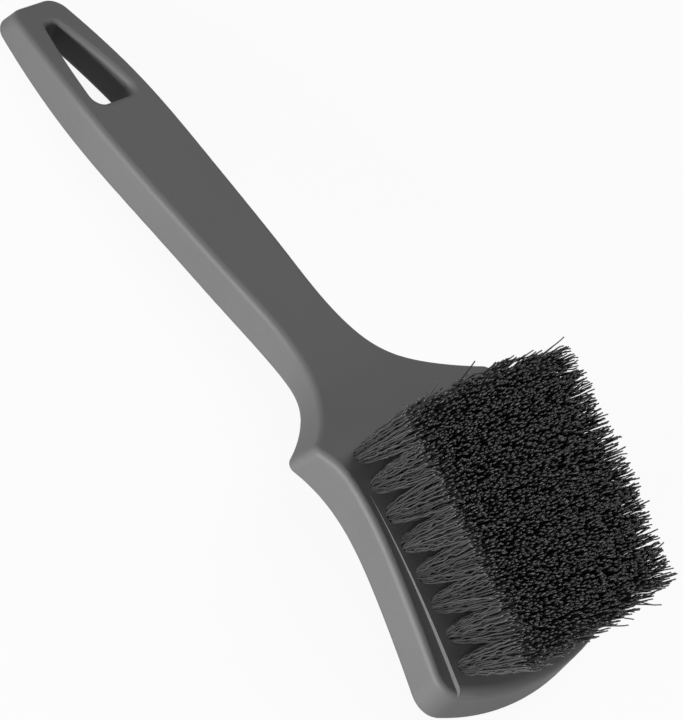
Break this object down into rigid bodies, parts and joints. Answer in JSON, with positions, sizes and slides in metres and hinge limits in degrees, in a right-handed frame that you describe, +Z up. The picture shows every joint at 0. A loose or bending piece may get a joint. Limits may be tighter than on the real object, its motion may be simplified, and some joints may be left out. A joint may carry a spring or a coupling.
{
  "type": "wheel brush",
  "caption": "Short-handled scrubbing brush: one-piece moulded handle and fan-ended block with a teardrop hang hole and stiff crimped bristle tufts in a square grid.",
  "frame": {"origin": "middle of the brush's bounding box, on the surface that its back rests on", "axes": "+X from the hang hole to the block's far end, +Y to the brush's left seen from above with the handle towards the viewer, +Z up out of the bristle side; the brush lies on its back, so the tufts lean 13.55 degrees from +Z towards +X"},
  "size_m": [0.2156, 0.0686, 0.0529],
  "materials": {
    "body": "satin, fine moulded grain",
    "bristle": "crimped polypropylene filament",
    "anchor": "drawn wire"
  },
  "bodies": {
    "root": {"brush_body": "body", "tuft_anchors": "anchor", "tuft_r1c1": "bristle", "tuft_r1c2": "bristle", "tuft_r1c3": "bristle", "tuft_r1c4": "bristle", "tuft_r1c5": "bristle", "tuft_r1c6": "bristle", "tuft_r1c7": "bristle", "tuft_r2c1": "bristle", "tuft_r2c2": "bristle", "tuft_r2c3": "bristle", "tuft_r2c4": "bristle", "tuft_r2c5": "bristle", "tuft_r2c6": "bristle", "tuft_r2c7": "bristle", "tuft_r3c1": "bristle", "tuft_r3c2": "bristle", "tuft_r3c3": "bristle", "tuft_r3c4": "bristle", "tuft_r3c5": "bristle", "tuft_r3c6": "bristle", "tuft_r3c7": "bristle", "tuft_r4c1": "bristle", "tuft_r4c2": "bristle", "tuft_r4c3": "bristle", "tuft_r4c4": "bristle", "tuft_r4c5": "bristle", "tuft_r4c6": "bristle", "tuft_r4c7": "bristle", "tuft_r5c1": "bristle", "tuft_r5c2": "bristle", "tuft_r5c3": "bristle", "tuft_r5c4": "bristle", "tuft_r5c5": "bristle", "tuft_r5c6": "bristle", "tuft_r5c7": "bristle", "tuft_r6c1": "bristle", "tuft_r6c2": "bristle", "tuft_r6c3": "bristle", "tuft_r6c4": "bristle", "tuft_r6c5": "bristle", "tuft_r6c6": "bristle", "tuft_r6c7": "bristle", "tuft_r7c1": "bristle", "tuft_r7c2": "bristle", "tuft_r7c3": "bristle", "tuft_r7c4": "bristle", "tuft_r7c5": "bristle", "tuft_r7c6": "bristle", "tuft_r7c7": "bristle", "tuft_r8c1": "bristle", "tuft_r8c2": "bristle", "tuft_r8c3": "bristle", "tuft_r8c4": "bristle", "tuft_r8c5": "bristle", "tuft_r8c6": "bristle", "tuft_r8c7": "bristle"}
  },
  "joints": []
}
